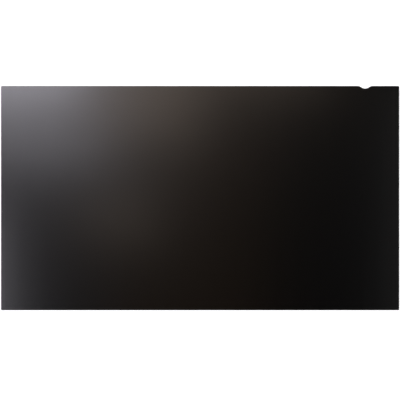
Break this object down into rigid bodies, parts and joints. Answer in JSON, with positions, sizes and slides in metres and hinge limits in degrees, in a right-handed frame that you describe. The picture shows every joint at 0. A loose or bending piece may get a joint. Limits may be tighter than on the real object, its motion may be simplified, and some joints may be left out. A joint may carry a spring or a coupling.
{
  "type": "monitor privacy filter",
  "caption": "Thin flat rectangular sheet of dark satin louvre film with a shallow finger notch in its top edge, laid over a widescreen monitor to narrow its viewing angle.",
  "frame": {"origin": "middle of the back face, the face that goes against the screen", "axes": "+X across the screen towards the notch's end, +Y up the screen towards the notched edge, +Z out of the front face"},
  "size_m": [0.531, 0.299, 0.0005],
  "materials": {
    "louvre_film": "satin anti-glare black plastic laminate with fine upright louvres"
  },
  "bodies": {
    "root": {"filter_sheet": "louvre_film"}
  },
  "joints": []
}
